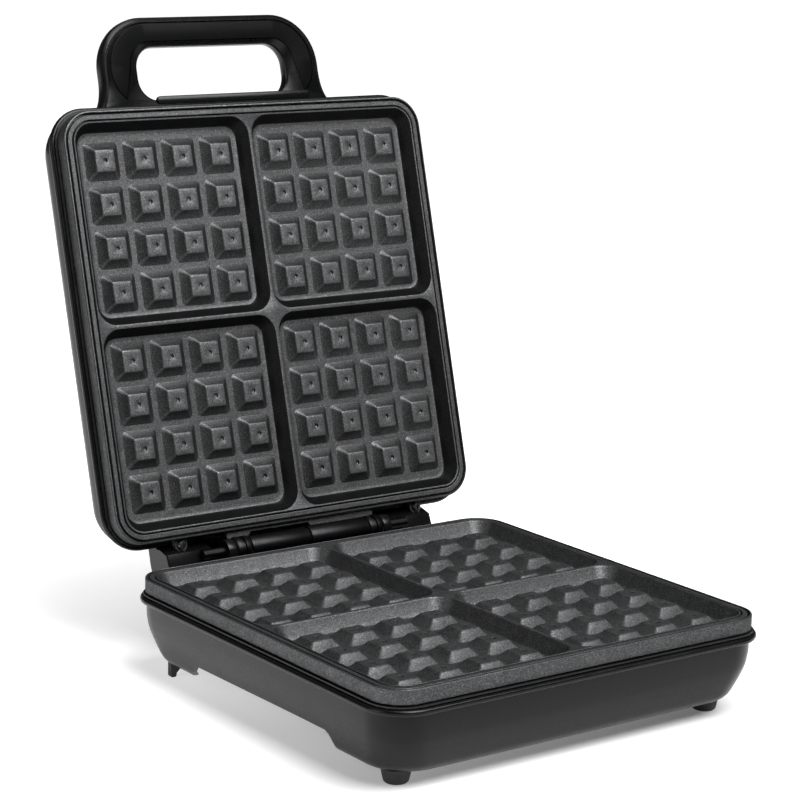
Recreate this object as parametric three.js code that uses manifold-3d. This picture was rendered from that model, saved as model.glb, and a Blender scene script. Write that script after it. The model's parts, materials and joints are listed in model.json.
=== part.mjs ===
// A four-slice waffle maker with a hinged lid, standing open on its feet.
// Millimetres, +Z up, +X to the right along the hinge, -Y towards the user.
// The lid is built shut, face down over the base, and then swung open about the hinge axis.
import * as THREE from 'three';
import { mergeVertices } from 'three/addons/utils/BufferGeometryUtils.js';
import Module from 'manifold-3d';

const wasm = await Module();
wasm.setup();

// ---- Driving dimensions -------------------------------------------------------------------
const GAP = 0.3; // clearance kept between neighbouring pieces

// Baking plates: height 0 is the plane of the pyramid tops of the lower plate.
const PITCH_X = 24;
const PITCH_Y = 23.6;
const PYRAMIDS_PER_ROW = 4;
const PYRAMID_TOP = 5.7; // half width of a pyramid's flat top
const PYRAMID_BASE = 10.1; // half width of its foot
const PYRAMID_HEIGHT = 4.6;
const RIM_HEIGHT = 3; // rim above the pyramid tops
const FIRST_PYRAMID_X = 18.9; // centre of the pyramid nearest to the middle of the plate
const FIRST_PYRAMID_Y = 18.4;
const CAVITY_EDGE = 109; // outer edge of the cavities, from the middle of the plate
const WALL_SLOPE = 4.8; // how far the cavity wall leans in on its way down
const DIVIDER = 2.4; // ridge between two cavities
const RIM_WIDTH = 6.7; // cavity edge to the outside of the plate
const CAVITY_RADIUS = 10.5;
const PLATE_RADIUS = 17;
const PLATE_SKIRT = -4.6; // lower edge of the plate's outer wall
const PLATE_UNDERSIDE = -7.6;
const CLOSED_RIM_GAP = 0.4; // between the two rims with the lid shut

// Casings: half sizes of the widest bead, and depths below the pyramid plane.
const BEAD_HALF = 118.9;
const WALL = 2.4;
const CASING_DEPTH = 41;
const FLOOR_LEVEL = -49.2;

// Hinge
const HINGE_Y = 126.2;
const OPEN_ANGLE = 105.5;
const SHAFT_RADIUS = 2.9;
const SHAFT_HALF = 67;
const BORE_RADIUS = SHAFT_RADIUS + GAP;
const SLEEVE_RADIUS = 6.3;
const COLLAR_RADIUS = 6.9;
const SLEEVE_LENGTH = 38.2;
const LUG_INNER = 48.5;
const LUG_THICKNESS = 5;
const LUG_RADIUS = 6.4;
const ARM_INNER = 58.6;
const ARM_OUTER = 87;
const ARM_RADIUS = 22;

// Handle, measured outwards from the middle of the lid towards the user
const HANDLE_HALF = 71.3;
const HANDLE_REACH = 170.9;
const HANDLE_CORNER = 29;
const HANDLE_BAR = 16.8;
const HANDLE_THICKNESS = 8.5;
const OPENING_HALF = 48.2;
const OPENING_FOOT = 124.5;
const PANEL_DEPTH = 2;

// ---- Worked out from them -----------------------------------------------------------------
const CAVITY_HALF = (CAVITY_EDGE - DIVIDER / 2) / 2;
const CAVITY_CENTRE = CAVITY_EDGE - CAVITY_HALF;
const PLATE_HALF = CAVITY_EDGE + RIM_WIDTH;
const LID_LEVEL = 2 * RIM_HEIGHT + CLOSED_RIM_GAP; // pyramid plane of the shut upper plate
const HINGE_Z = LID_LEVEL / 2; // the parting plane between the two rims
const COVER_LEVEL = -CASING_DEPTH + 10.7; // underside of the bottom cover

// ---- Materials ----------------------------------------------------------------------------
function finish(color, roughness, metalness) {
  return new THREE.MeshStandardMaterial({ color, roughness, metalness });
}

const castCoat = () => finish('#5b5d5e', 0.62, 0.1);
const satinPlastic = () => finish('#2b2c2d', 0.38, 0);
const mattePlastic = () => finish('#1c1d1e', 0.6, 0);
const steel = () => finish('#8f9194', 0.32, 1);
const rubber = () => finish('#232425', 0.8, 0);
const lens = (color) => finish(color, 0.15, 0);

// ---- Solids -------------------------------------------------------------------------------
const solids = [];

function toManifold(geometry) {
  const bare = geometry.index ? geometry.toNonIndexed() : geometry.clone();
  bare.deleteAttribute('normal');
  bare.deleteAttribute('uv');
  const merged = mergeVertices(bare, 1e-4);
  const solid = new wasm.Manifold(new wasm.Mesh({
    numProp: 3,
    vertProperties: new Float32Array(merged.attributes.position.array),
    triVerts: new Uint32Array(merged.index.array),
  }));
  solids.push(solid);
  return solid;
}

function toGeometry(solid) {
  const mesh = solid.getMesh();
  const geometry = new THREE.BufferGeometry();
  geometry.setAttribute('position', new THREE.BufferAttribute(new Float32Array(mesh.vertProperties), 3));
  geometry.setIndex(new THREE.BufferAttribute(new Uint32Array(mesh.triVerts), 1));
  geometry.computeVertexNormals();
  return geometry;
}

function combine(body, adds = [], cuts = []) {
  let solid = toManifold(body);
  for (const add of adds) {
    solid = solid.add(toManifold(add));
  }
  for (const cut of cuts) {
    solid = solid.subtract(toManifold(cut));
  }
  return toGeometry(solid);
}

function box(sizeX, sizeY, sizeZ, x, y, z) {
  return new THREE.BoxGeometry(sizeX, sizeY, sizeZ).translate(x, y, z);
}

// A cylinder along X, Y or Z, centred on a point.
function rod(radius, length, axis, x, y, z, sides = 20, endRadius = radius) {
  const geometry = new THREE.CylinderGeometry(endRadius, radius, length, sides);
  if (axis === 'x') {
    geometry.rotateZ(-Math.PI / 2);
  }
  if (axis === 'z') {
    geometry.rotateX(Math.PI / 2);
  }
  return geometry.translate(x, y, z);
}

// One ring of a rounded rectangle, counter-clockwise from above.
function roundedRing(halfX, halfY, radius, z, cornerSteps = 5) {
  const ring = [];
  for (let corner = 0; corner < 4; corner += 1) {
    const signX = corner === 0 || corner === 3 ? 1 : -1;
    const signY = corner < 2 ? 1 : -1;
    for (let step = 0; step <= cornerSteps; step += 1) {
      const angle = (corner + step / cornerSteps) * (Math.PI / 2);
      const x = signX * (halfX - radius) + radius * Math.cos(angle);
      const y = signY * (halfY - radius) + radius * Math.sin(angle);
      ring.push(new THREE.Vector3(x, y, z));
    }
  }
  return ring;
}

// Skins a stack of rings listed from the bottom up on the outside. A closed stack ends where it
// began, like the wall of a bowl; an open one is capped with a flat face at each end.
function loft(rings, closed) {
  const count = rings[0].length;
  const positions = rings.flat().flatMap((point) => point.toArray());
  const faces = [];
  const levels = closed ? rings.length : rings.length - 1;
  for (let level = 0; level < levels; level += 1) {
    const below = level * count;
    const above = ((level + 1) % rings.length) * count;
    for (let i = 0; i < count; i += 1) {
      const next = (i + 1) % count;
      faces.push(below + i, below + next, above + next, below + i, above + next, above + i);
    }
  }
  if (!closed) {
    const top = (rings.length - 1) * count;
    for (let i = 1; i < count - 1; i += 1) {
      faces.push(0, i + 1, i, top, top + i, top + i + 1);
    }
  }
  const geometry = new THREE.BufferGeometry();
  geometry.setAttribute('position', new THREE.Float32BufferAttribute(positions, 3));
  geometry.setIndex(faces);
  return geometry;
}

// Extrudes a shape drawn in the Y-Z plane along X, between two X places.
function extrudeAlongX(shape, fromX, toX) {
  const options = { depth: toX - fromX, bevelEnabled: false, curveSegments: 10 };
  const geometry = new THREE.ExtrudeGeometry(shape, options);
  const turn = new THREE.Matrix4().makeBasis(
    new THREE.Vector3(0, 1, 0),
    new THREE.Vector3(0, 0, 1),
    new THREE.Vector3(1, 0, 0),
  );
  return geometry.applyMatrix4(turn).translate(fromX, 0, 0);
}

// Turns a piece drawn for the lower half over, so that it faces down at the shut lid's level.
function overturn(geometry) {
  return geometry.rotateY(Math.PI).translate(0, 0, LID_LEVEL);
}

// ---- Baking plates ------------------------------------------------------------------------
function plateRing(inset, z) {
  return roundedRing(PLATE_HALF - inset, PLATE_HALF - inset, PLATE_RADIUS - inset, z);
}

function plateBlank() {
  const wellInset = 11.7;
  const lipWidth = 1;
  const grooveWidth = 1;
  const edgeRound = 0.3;
  const grooveFloor = RIM_HEIGHT - 0.8;
  const bandEnd = RIM_WIDTH - 0.8 - grooveWidth;
  return loft([
    plateRing(wellInset, PLATE_UNDERSIDE),
    plateRing(wellInset, PLATE_SKIRT),
    plateRing(0, PLATE_SKIRT),
    plateRing(0, RIM_HEIGHT - edgeRound),
    plateRing(edgeRound, RIM_HEIGHT),
    plateRing(lipWidth, RIM_HEIGHT),
    plateRing(lipWidth + grooveWidth / 2, grooveFloor),
    plateRing(lipWidth + grooveWidth, RIM_HEIGHT),
    plateRing(bandEnd, RIM_HEIGHT),
    plateRing(bandEnd + grooveWidth / 2, grooveFloor),
    plateRing(bandEnd + grooveWidth, RIM_HEIGHT),
  ], false);
}

function cavityCutter(x, y) {
  const above = 1;
  const slope = WALL_SLOPE / (RIM_HEIGHT + PYRAMID_HEIGHT);
  const foot = CAVITY_HALF - WALL_SLOPE;
  const over = CAVITY_HALF + slope * above;
  return loft([
    roundedRing(foot, foot, CAVITY_RADIUS - 4, -PYRAMID_HEIGHT),
    roundedRing(over, over, CAVITY_RADIUS, RIM_HEIGHT + above),
  ], false).translate(x, y, 0);
}

function pyramid(x, y) {
  const rooted = 0.4;
  const flare = ((PYRAMID_BASE - PYRAMID_TOP) / PYRAMID_HEIGHT) * rooted;
  const height = PYRAMID_HEIGHT + rooted;
  const bottom = (PYRAMID_BASE + flare) * Math.SQRT2;
  const geometry = new THREE.CylinderGeometry(PYRAMID_TOP * Math.SQRT2, bottom, height, 4);
  return geometry.rotateX(Math.PI / 2).rotateZ(Math.PI / 4).translate(x, y, -height / 2);
}

function bakingPlate(adds = [], cuts = []) {
  const cutters = [];
  const pyramids = [];
  for (const signX of [-1, 1]) {
    for (const signY of [-1, 1]) {
      cutters.push(cavityCutter(signX * CAVITY_CENTRE, signY * CAVITY_CENTRE));
      for (let column = 0; column < PYRAMIDS_PER_ROW; column += 1) {
        for (let row = 0; row < PYRAMIDS_PER_ROW; row += 1) {
          const x = signX * (FIRST_PYRAMID_X + column * PITCH_X);
          const y = signY * (FIRST_PYRAMID_Y + row * PITCH_Y);
          pyramids.push(pyramid(x, y));
        }
      }
    }
  }
  const cut = combine(plateBlank(), adds, [...cutters, ...cuts]);
  return combine(cut, pyramids);
}

// The upper plate has two screw ears and a long flange along its hinge side.
const EAR_X = 77.65;
const EAR_SHIFT = 1.6; // both ears stand this far right of the middle
const EAR_RADIUS = 4;
const EAR_OVERHANG = 3.3;
const EAR_FACE = -2;
const EAR_THICKNESS = 2.6;
const EAR_HOLE = 1.6;
const EAR_Y = PLATE_HALF + EAR_OVERHANG;

function plateEars() {
  const middle = EAR_FACE - EAR_THICKNESS / 2;
  const neck = EAR_OVERHANG + 2;
  return [-1, 1].flatMap((side) => [
    rod(EAR_RADIUS, EAR_THICKNESS, 'z', side * EAR_X - EAR_SHIFT, EAR_Y, middle, 24),
    box(2 * EAR_RADIUS, neck, EAR_THICKNESS, side * EAR_X - EAR_SHIFT, EAR_Y - neck / 2, middle),
  ]);
}

function plateFlange() {
  const halfLength = LUG_INNER - 0.4;
  const reach = 4.3;
  const notchReach = 2.3;
  const root = PLATE_HALF - 2;
  const shape = new THREE.Shape();
  shape.moveTo(-halfLength, root);
  shape.lineTo(halfLength, root);
  shape.lineTo(halfLength, PLATE_HALF + reach);
  shape.lineTo(34, PLATE_HALF + reach);
  shape.lineTo(33, PLATE_HALF + notchReach);
  shape.lineTo(-5, PLATE_HALF + notchReach);
  shape.lineTo(-6, PLATE_HALF + reach);
  shape.lineTo(-halfLength, PLATE_HALF + reach);
  const thickness = 2.5;
  const geometry = new THREE.ExtrudeGeometry(shape, { depth: thickness, bevelEnabled: false });
  return geometry.translate(0, 0, -0.5 - thickness);
}

function upperPlate() {
  const holes = [-1, 1].map((side) => rod(EAR_HOLE, 12, 'z', side * EAR_X - EAR_SHIFT, EAR_Y, EAR_FACE));
  return overturn(bakingPlate([...plateEars(), plateFlange()], holes));
}

// ---- Heating elements and heat shields ----------------------------------------------------
const ELEMENT_RADIUS = 3.2;
const ELEMENT_LEVEL = PLATE_UNDERSIDE - 2 * GAP - ELEMENT_RADIUS;
const SHIELD_FLANGE_TOP = PLATE_SKIRT - 0.6;
const SHEET = 0.7;
const SHIELD_FLOOR = -16.6;
const SHIELD_INSET = 8.4;
const TERMINAL_X = 34;
const TERMINAL_Y = 84;

function heatingElement() {
  const half = 72;
  const points = [
    [TERMINAL_X, TERMINAL_Y, ELEMENT_LEVEL - 14],
    [TERMINAL_X, TERMINAL_Y, ELEMENT_LEVEL - 4],
    [TERMINAL_X + 8, TERMINAL_Y - 3, ELEMENT_LEVEL],
    [half - 8, half + 4, ELEMENT_LEVEL],
    [half, half - 12, ELEMENT_LEVEL],
    [half, -half + 12, ELEMENT_LEVEL],
    [half - 12, -half, ELEMENT_LEVEL],
    [0, -half - 2, ELEMENT_LEVEL],
  ];
  const mirrored = points.slice(0, -1).reverse().map(([x, y, z]) => [-x, y, z]);
  const route = [...points, ...mirrored].map(([x, y, z]) => new THREE.Vector3(x, y, z));
  const path = new THREE.CatmullRomCurve3(route, false, 'centripetal');
  const section = new THREE.Shape();
  const sides = 8;
  for (let i = 0; i < sides; i += 1) {
    const angle = (i / sides) * 2 * Math.PI;
    section.lineTo(ELEMENT_RADIUS * Math.cos(angle), ELEMENT_RADIUS * Math.sin(angle));
  }
  return new THREE.ExtrudeGeometry(section, { steps: 56, extrudePath: path, bevelEnabled: false });
}

function heatShield() {
  const flangeInset = -1.1;
  const outerFloor = SHIELD_FLOOR - SHEET;
  const rings = [
    plateRing(SHIELD_INSET + 4, outerFloor),
    plateRing(SHIELD_INSET, outerFloor + 4),
    plateRing(SHIELD_INSET, SHIELD_FLANGE_TOP - SHEET),
    plateRing(flangeInset, SHIELD_FLANGE_TOP - SHEET),
    plateRing(flangeInset, SHIELD_FLANGE_TOP),
    plateRing(SHIELD_INSET + SHEET, SHIELD_FLANGE_TOP),
    plateRing(SHIELD_INSET + SHEET, SHIELD_FLOOR + 4),
    plateRing(SHIELD_INSET + SHEET + 4, SHIELD_FLOOR),
  ];
  const holes = [-1, 1].map((side) => (
    rod(ELEMENT_RADIUS + 2, 6, 'z', side * TERMINAL_X, TERMINAL_Y, SHIELD_FLOOR)
  ));
  return combine(loft(rings, false), [], holes);
}

// ---- Casings ------------------------------------------------------------------------------
// The outer wall from the bead downwards: how far it stands in, its height and corner radius.
const CASING_WALL = [
  [1.4, -6.4, 20.2],
  [0, -7.3, 21.6],
  [0, -8.8, 21.6],
  [1.3, -9.7, 21.4],
  [2.5, -10.2, 21.6],
  [2.5, -14, 21.6],
  [2.7, -18, 21.6],
  [3.4, -23, 21.6],
  [4.8, -28, 21.6],
  [6.5, -33, 21.6],
  [8.1, -37.2, 21.6],
  [9.6, -39.4, 21.4],
  [12.3, -CASING_DEPTH, 20.6],
];
const LIP_INSET = 10.5; // the inner edge of the casing's top lip

function casingRing(inset, z, radius) {
  return roundedRing(BEAD_HALF - inset, BEAD_HALF - inset, radius, z);
}

// A casing's whole outside as one block, grown a little to cut its neighbours clear of it.
function casingEnvelope(grow) {
  const [topInset, topZ, topRadius] = CASING_WALL[0];
  const [endInset, endZ, endRadius] = CASING_WALL.at(-1);
  const rings = CASING_WALL.map(([inset, z, radius]) => casingRing(inset - grow, z, radius + grow));
  rings.unshift(casingRing(topInset - grow, topZ + grow, topRadius + grow));
  rings.push(casingRing(endInset - grow, endZ - grow, endRadius + grow));
  return loft(rings.reverse(), false);
}

// The moulded wall of a casing, from the bottom edge up to the bead and down its inner face.
function casingRings(floorZ) {
  const neck = 4;
  const outside = CASING_WALL.map(([inset, z, radius]) => casingRing(inset, z, radius)).reverse();
  const inside = CASING_WALL.slice(neck).map(([inset, z, radius]) => (
    casingRing(inset + WALL, Math.max(z, floorZ), radius - WALL)
  ));
  const lip = [
    casingRing(LIP_INSET, -6.4, 12),
    casingRing(LIP_INSET, -6.4 - WALL, 12),
    casingRing(CASING_WALL[neck][0] + WALL, -6.4 - WALL, 17),
  ];
  return [...outside, ...lip, ...inside];
}

// Arches in the two side walls' lower edges: upright at the user's end, leaning at the hinge end.
const ARCH_FRONT = -60.2;
const ARCH_REAR = 58;
const ARCH_RISE = 9.9;

function sideArches() {
  const below = -CASING_DEPTH - 1;
  const shape = new THREE.Shape();
  shape.moveTo(ARCH_FRONT - 3.5, below);
  shape.lineTo(ARCH_REAR + 11, below);
  shape.lineTo(ARCH_REAR, -CASING_DEPTH + ARCH_RISE - 1);
  shape.lineTo(ARCH_FRONT + 1, -CASING_DEPTH + ARCH_RISE);
  shape.lineTo(ARCH_FRONT, -CASING_DEPTH + ARCH_RISE - 1);
  const inner = BEAD_HALF - 20;
  const outer = BEAD_HALF + 5;
  return [extrudeAlongX(shape, -outer, -inner), extrudeAlongX(shape, inner, outer)];
}

const GLAND_Z = -21.5;
const GLAND_RADIUS = 6;

// Bosses inside the base for the cover's screws, moulded on to its front and rear walls.
const BOSS_X = 60;
const BOSS_Y = 92;
const COVER_THICKNESS = 1.2;

function coverBosses() {
  const bosses = [];
  const top = -20;
  const bottom = COVER_LEVEL + COVER_THICKNESS + GAP;
  const halfWidth = 4.5;
  for (const signY of [-1, 1]) {
    const shape = new THREE.Shape();
    shape.moveTo(signY * (BOSS_Y - halfWidth), bottom);
    shape.lineTo(signY * (BEAD_HALF - 6), bottom);
    shape.lineTo(signY * (BEAD_HALF - 4.4), top);
    shape.lineTo(signY * (BOSS_Y - halfWidth), top);
    for (const signX of [-1, 1]) {
      bosses.push(extrudeAlongX(shape, signX * BOSS_X - halfWidth, signX * BOSS_X + halfWidth));
    }
  }
  return bosses;
}

function coverScrewHoles(radius, length) {
  const holes = [];
  for (const signX of [-1, 1]) {
    for (const signY of [-1, 1]) {
      holes.push(rod(radius, length, 'z', signX * BOSS_X, signY * BOSS_Y, COVER_LEVEL + length / 2 - 1));
    }
  }
  return holes;
}

// Two upright lugs behind the base carry the shaft, within the sweep of the lid's hinge cover.
function hingeLugs() {
  const root = BEAD_HALF - 4;
  const shape = new THREE.Shape();
  shape.moveTo(root, -22);
  shape.lineTo(HINGE_Y - 1, -14.5);
  shape.lineTo(HINGE_Y + 5, -12);
  shape.lineTo(HINGE_Y + LUG_RADIUS, HINGE_Z - 3);
  shape.absarc(HINGE_Y, HINGE_Z, LUG_RADIUS, 0, Math.PI, false);
  shape.lineTo(HINGE_Y - LUG_RADIUS, -7);
  shape.lineTo(root, -9);
  const outer = LUG_INNER + LUG_THICKNESS;
  return [extrudeAlongX(shape, -outer, -LUG_INNER), extrudeAlongX(shape, LUG_INNER, outer)];
}

function baseShell() {
  const shaftHole = rod(BORE_RADIUS, 2 * SHAFT_HALF, 'x', 0, HINGE_Y, HINGE_Z);
  const glandHole = rod(GLAND_RADIUS + GAP, 30, 'y', 0, BEAD_HALF - 5, GLAND_Z);
  const boreHoles = coverScrewHoles(1.3 + GAP / 2, 14);
  const wall = loft(casingRings(-CASING_DEPTH), true);
  const cuts = [...sideArches(), shaftHole, glandHole, ...boreHoles];
  return combine(wall, [...hingeLugs(), ...coverBosses()], cuts);
}

const LENS_X = 13;
const LENS_Y = -70;
const LENS_RADIUS = 4.5;

const LID_LEAN_START = 19; // how far above the plate's face the lid's side walls start to lean
const LID_LEAN = 0.29;

// The lid's two side walls lean inwards more than the base's.
function leanedSides(ring) {
  const lean = Math.max(0, -ring[0].z - LID_LEAN_START) * LID_LEAN;
  const half = Math.max(...ring.map((point) => point.x));
  return ring.map((point) => new THREE.Vector3(point.x * (1 - lean / half), point.y, point.z));
}

function lidShell() {
  const crown = [
    [38, -CASING_DEPTH - 1.2, 16],
    [16.5, -CASING_DEPTH - 0.4, 19],
  ].map(([inset, z, radius]) => casingRing(inset, z, radius));
  const rings = [...crown, ...casingRings(-CASING_DEPTH + WALL)].map(leanedSides);
  const cuts = [];
  for (const side of [-1, 1]) {
    cuts.push(rod(LENS_RADIUS + GAP, 12, 'z', side * LENS_X, LENS_Y, -CASING_DEPTH));
    const screwX = side * HANDLE_SCREW_X;
    cuts.push(rod(HANDLE_SCREW_RADIUS + GAP, 20, 'y', screwX, -BEAD_HALF + 3, HANDLE_SCREW_LEVEL));
    cuts.push(rod(EAR_SCREW_RADIUS + GAP, 12, 'z', side * EAR_X - EAR_SHIFT, EAR_Y, EAR_FACE - 8, 12));
  }
  return overturn(combine(loft(rings, false), [], cuts));
}

// ---- Bottom cover, feet and rear legs -----------------------------------------------------
const FOOT_X = 96.4;
const FOOT_Y = 93.7;
const FOOT_TOP = -CASING_DEPTH - GAP;
const STEM_RADIUS = 2.2;
const STEM_X = FOOT_X - 4.8; // the stem stands inwards of the foot, clear of the casing's wall
const STEM_Y = FOOT_Y - 4.6;

function bottomCover() {
  const inset = 9.4;
  const rings = [
    casingRing(inset, COVER_LEVEL, 18),
    casingRing(inset, COVER_LEVEL + COVER_THICKNESS, 18),
  ];
  const stems = [-1, 1].map((side) => rod(STEM_RADIUS + GAP, 10, 'z', side * STEM_X, -STEM_Y, COVER_LEVEL));
  return combine(loft(rings, false), [], [...stems, ...coverScrewHoles(1.3 + GAP, 10)]);
}

// A push-in rubber foot: a tapered round body, and a shouldered stem through the cover.
function frontFoot(side) {
  const profile = [
    [0, FLOOR_LEVEL],
    [4.6, FLOOR_LEVEL],
    [5.9, FLOOR_LEVEL + 0.7],
    [6.5, FLOOR_LEVEL + 2.4],
    [7.7, FOOT_TOP],
    [0, FOOT_TOP],
  ].map(([radius, z]) => new THREE.Vector2(radius, z));
  const body = new THREE.LatheGeometry(profile, 20).rotateX(Math.PI / 2).translate(side * FOOT_X, -FOOT_Y, 0);
  const shoulder = COVER_LEVEL - GAP;
  const barb = COVER_LEVEL + COVER_THICKNESS + GAP;
  const stem = [
    rod(5, shoulder - FOOT_TOP + 1, 'z', side * STEM_X, -STEM_Y, (shoulder + FOOT_TOP - 1) / 2),
    rod(STEM_RADIUS, barb - shoulder + 2, 'z', side * STEM_X, -STEM_Y, (barb + shoulder) / 2, 12),
    rod(STEM_RADIUS + 0.9, 3, 'z', side * STEM_X, -STEM_Y, barb + 1.5, 12, STEM_RADIUS - 1),
  ];
  return combine(body, stem);
}

// A thin upright leg under each rear corner, braced to a pad on the underside of the cover.
function rearLeg(side) {
  const outer = 106.1;
  const width = 3.3;
  const rearY = 96.2;
  const shape = new THREE.Shape();
  shape.moveTo(side * 84, COVER_LEVEL - GAP);
  shape.lineTo(side * 92, COVER_LEVEL - GAP);
  shape.lineTo(side * 92, FOOT_TOP);
  shape.lineTo(side * outer, FOOT_TOP);
  shape.lineTo(side * outer, FLOOR_LEVEL + 0.8);
  shape.lineTo(side * (outer - 0.6), FLOOR_LEVEL);
  shape.lineTo(side * (outer - width + 0.6), FLOOR_LEVEL);
  shape.lineTo(side * (outer - width), FLOOR_LEVEL + 0.8);
  shape.lineTo(side * (outer - width), FOOT_TOP - 6);
  shape.lineTo(side * (outer - width - 4.2), FOOT_TOP - 1.8);
  shape.lineTo(side * 84, FOOT_TOP - 1.8);
  const geometry = new THREE.ExtrudeGeometry(shape, { depth: width, bevelEnabled: false });
  return geometry.rotateX(Math.PI / 2).translate(0, rearY, 0);
}

// ---- Small parts --------------------------------------------------------------------------
// A pan-head screw along +Z with its head's underside at height 0 and a cross recess on top.
function screw(headRadius, headHeight, shankRadius, length) {
  const profile = [
    [0, -length],
    [shankRadius * 0.6, -length],
    [shankRadius, -length + shankRadius],
    [shankRadius, 0],
    [headRadius, 0],
    [headRadius, headHeight * 0.5],
    [headRadius * 0.75, headHeight * 0.9],
    [0, headHeight],
  ].map(([radius, z]) => new THREE.Vector2(radius, z));
  const body = new THREE.LatheGeometry(profile, 16).rotateX(Math.PI / 2);
  const slot = headRadius * 1.1;
  const width = headRadius * 0.22;
  const recess = [
    box(slot, width, headHeight, 0, 0, headHeight),
    box(width, slot, headHeight, 0, 0, headHeight),
  ];
  return combine(body, [], recess);
}

// A ring or tube around the hinge axis.
function hingeRing(innerRadius, outerRadius, fromX, toX, chamfer) {
  const profile = [
    [innerRadius, fromX],
    [outerRadius - chamfer, fromX],
    [outerRadius, fromX + chamfer],
    [outerRadius, toX - chamfer],
    [outerRadius - chamfer, toX],
    [innerRadius, toX],
    [innerRadius, fromX],
  ].map(([radius, x]) => new THREE.Vector2(radius, x));
  return new THREE.LatheGeometry(profile, 24).rotateZ(-Math.PI / 2).translate(0, HINGE_Y, HINGE_Z);
}

function thermostat() {
  const z = SHIELD_FLOOR - SHEET - GAP;
  const profile = [
    [0, z - 9],
    [7, z - 9],
    [8, z - 8],
    [8, z - 3],
    [10, z - 3],
    [10, z],
    [0, z],
  ].map(([radius, height]) => new THREE.Vector2(radius, height));
  return new THREE.LatheGeometry(profile, 20).rotateX(Math.PI / 2);
}

function terminalBlock() {
  const y = 52;
  const z = -23;
  const body = box(34, 16, 9, 0, y, z);
  const ways = [-11, 0, 11].map((x) => rod(2.2, 30, 'y', x, y, z, 12));
  return combine(body, [], ways);
}

function cordGland() {
  const flange = BEAD_HALF - 2.3;
  const profile = [
    [3.2, -9],
    [GLAND_RADIUS, -9],
    [GLAND_RADIUS, 0],
    [8.5, 0],
    [8, 3.5],
    [5.6, 5],
    [3.2, 5],
    [3.2, -9],
  ].map(([radius, y]) => new THREE.Vector2(radius, y));
  return new THREE.LatheGeometry(profile, 20).translate(0, flange, GLAND_Z);
}

function indicatorLens(side) {
  const profile = [
    [0, 0],
    [LENS_RADIUS, 0],
    [LENS_RADIUS, 5.2],
    [LENS_RADIUS - 0.6, 5.9],
    [LENS_RADIUS * 0.5, 6.3],
    [0, 6.4],
  ].map(([radius, z]) => new THREE.Vector2(radius, z));
  const geometry = new THREE.LatheGeometry(profile, 20).rotateX(Math.PI / 2);
  return geometry.translate(side * LENS_X, LENS_Y, LID_LEVEL + CASING_DEPTH - 4.2);
}

function lampBoard() {
  const thickness = 1.6;
  const z = LID_LEVEL + CASING_DEPTH - 4.2 - GAP - thickness / 2;
  return box(44, 20, thickness, 0, LENS_Y, z);
}

// ---- Lid arms -----------------------------------------------------------------------------
const EAR_SCREW_RADIUS = 1.2;

// Each arm is a rounded housing behind the lid. Its underside is cut so that it stands upright
// behind the base when the lid is open, and a boss inside it turns on the end of the shaft.
function lidArm(side) {
  const cutAngle = THREE.MathUtils.degToRad(180 - OPEN_ANGLE) * 0.21;
  const inside = HINGE_Y - 14;
  const shape = new THREE.Shape();
  shape.moveTo(inside, HINGE_Z + 24);
  shape.lineTo(inside, HINGE_Z + 9.4);
  shape.lineTo(HINGE_Y - 6.7, HINGE_Z + 9.4);
  shape.lineTo(HINGE_Y - 2.8, HINGE_Z + 3);
  shape.lineTo(HINGE_Y + 5.1, HINGE_Z + 1.7);
  shape.absarc(HINGE_Y, HINGE_Z, ARM_RADIUS, cutAngle, Math.PI * 0.53, false);
  const body = extrudeAlongX(shape, ARM_INNER, ARM_OUTER);
  const bossEnd = SHAFT_HALF + 1;
  const boss = rod(5.6, bossEnd - ARM_INNER, 'x', (bossEnd + ARM_INNER) / 2, HINGE_Y, HINGE_Z);
  const boreEnd = SHAFT_HALF + GAP;
  const bore = rod(BORE_RADIUS, 2 * (boreEnd - ARM_INNER), 'x', ARM_INNER, HINGE_Y, HINGE_Z);
  const shell = overturn(casingEnvelope(GAP));
  const earBack = LID_LEVEL - EAR_FACE + EAR_THICKNESS + GAP;
  const earX = EAR_X + side * EAR_SHIFT;
  const pocket = rod(EAR_RADIUS + 0.4, 20, 'z', earX, EAR_Y, earBack - 10, 24);
  const pilot = rod(EAR_SCREW_RADIUS + GAP, 12, 'z', earX, EAR_Y, LID_LEVEL - EAR_FACE + 5, 12);
  const geometry = combine(body, [boss], [shell, bore, pocket, pilot]);
  return side > 0 ? geometry : toGeometry(toManifold(geometry).mirror([1, 0, 0]));
}

// The curved cover between the arms, which closes the gap behind the hinge.
function hingeCover() {
  const thickness = 2.2;
  const inside = ARM_RADIUS - thickness;
  const startAngle = THREE.MathUtils.degToRad(180 - OPEN_ANGLE) * 0.21;
  const wallEnd = BEAD_HALF - 2.2;
  const shape = new THREE.Shape();
  shape.absarc(HINGE_Y, HINGE_Z, ARM_RADIUS, startAngle, Math.PI / 2, false);
  shape.lineTo(wallEnd, HINGE_Z + ARM_RADIUS);
  shape.lineTo(wallEnd, HINGE_Z + inside);
  shape.absarc(HINGE_Y, HINGE_Z, inside, Math.PI / 2, startAngle, true);
  const half = ARM_INNER - GAP;
  return extrudeAlongX(shape, -half, half);
}

// ---- Handle -------------------------------------------------------------------------------
const HANDLE_FACE = 24.5; // depth of the handle's face behind the pyramid plane
const HANDLE_SCREW_X = 61;
const HANDLE_SCREW_RADIUS = 1.8;
const HANDLE_SCREW_LEVEL = -HANDLE_FACE - HANDLE_THICKNESS / 2;

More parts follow.
